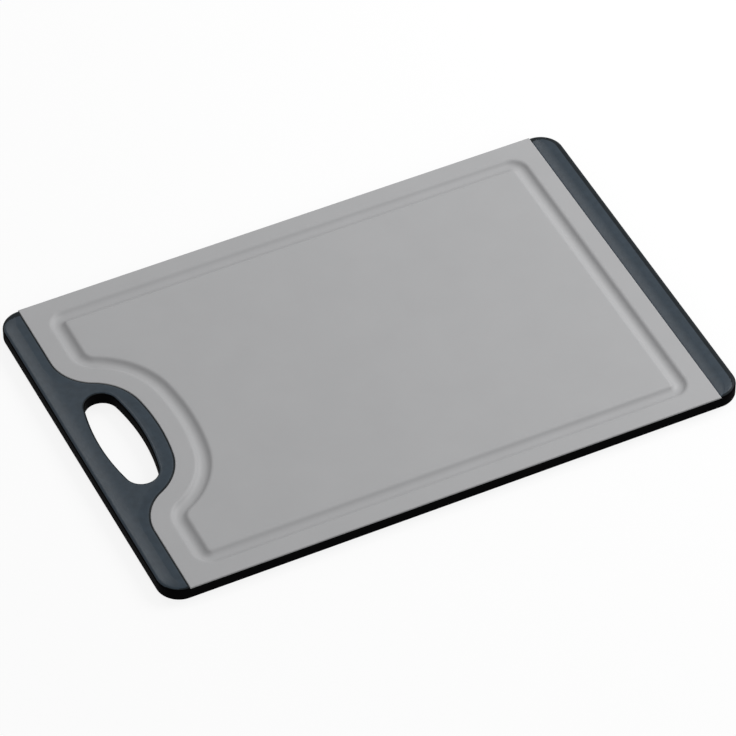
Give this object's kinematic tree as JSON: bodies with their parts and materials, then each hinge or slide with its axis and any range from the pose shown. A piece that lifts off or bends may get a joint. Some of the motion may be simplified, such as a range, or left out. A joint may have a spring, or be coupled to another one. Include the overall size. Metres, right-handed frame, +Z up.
{
  "type": "plastic cutting board",
  "caption": "Rectangular plastic cutting board with a juice groove, soft grips moulded over both ends, an oval hand hole and soft strips along the sides.",
  "frame": {"origin": "middle of the board's outline, on the plane that it rests on", "axes": "+X along the board's length from the handle end to the far end, +Y across it to the back, +Z up out of the cutting face"},
  "size_m": [0.36, 0.24, 0.0092],
  "materials": {
    "panel": "light grey polypropylene with a fine matt grain",
    "grip": "anthracite thermoplastic elastomer, satin soft-touch",
    "edge_strip": "black thermoplastic elastomer, matt"
  },
  "bodies": {
    "root": {"board_panel": "panel", "handle_grip": "grip", "end_grip": "grip", "front_edge_strip": "edge_strip", "back_edge_strip": "edge_strip"}
  },
  "joints": []
}
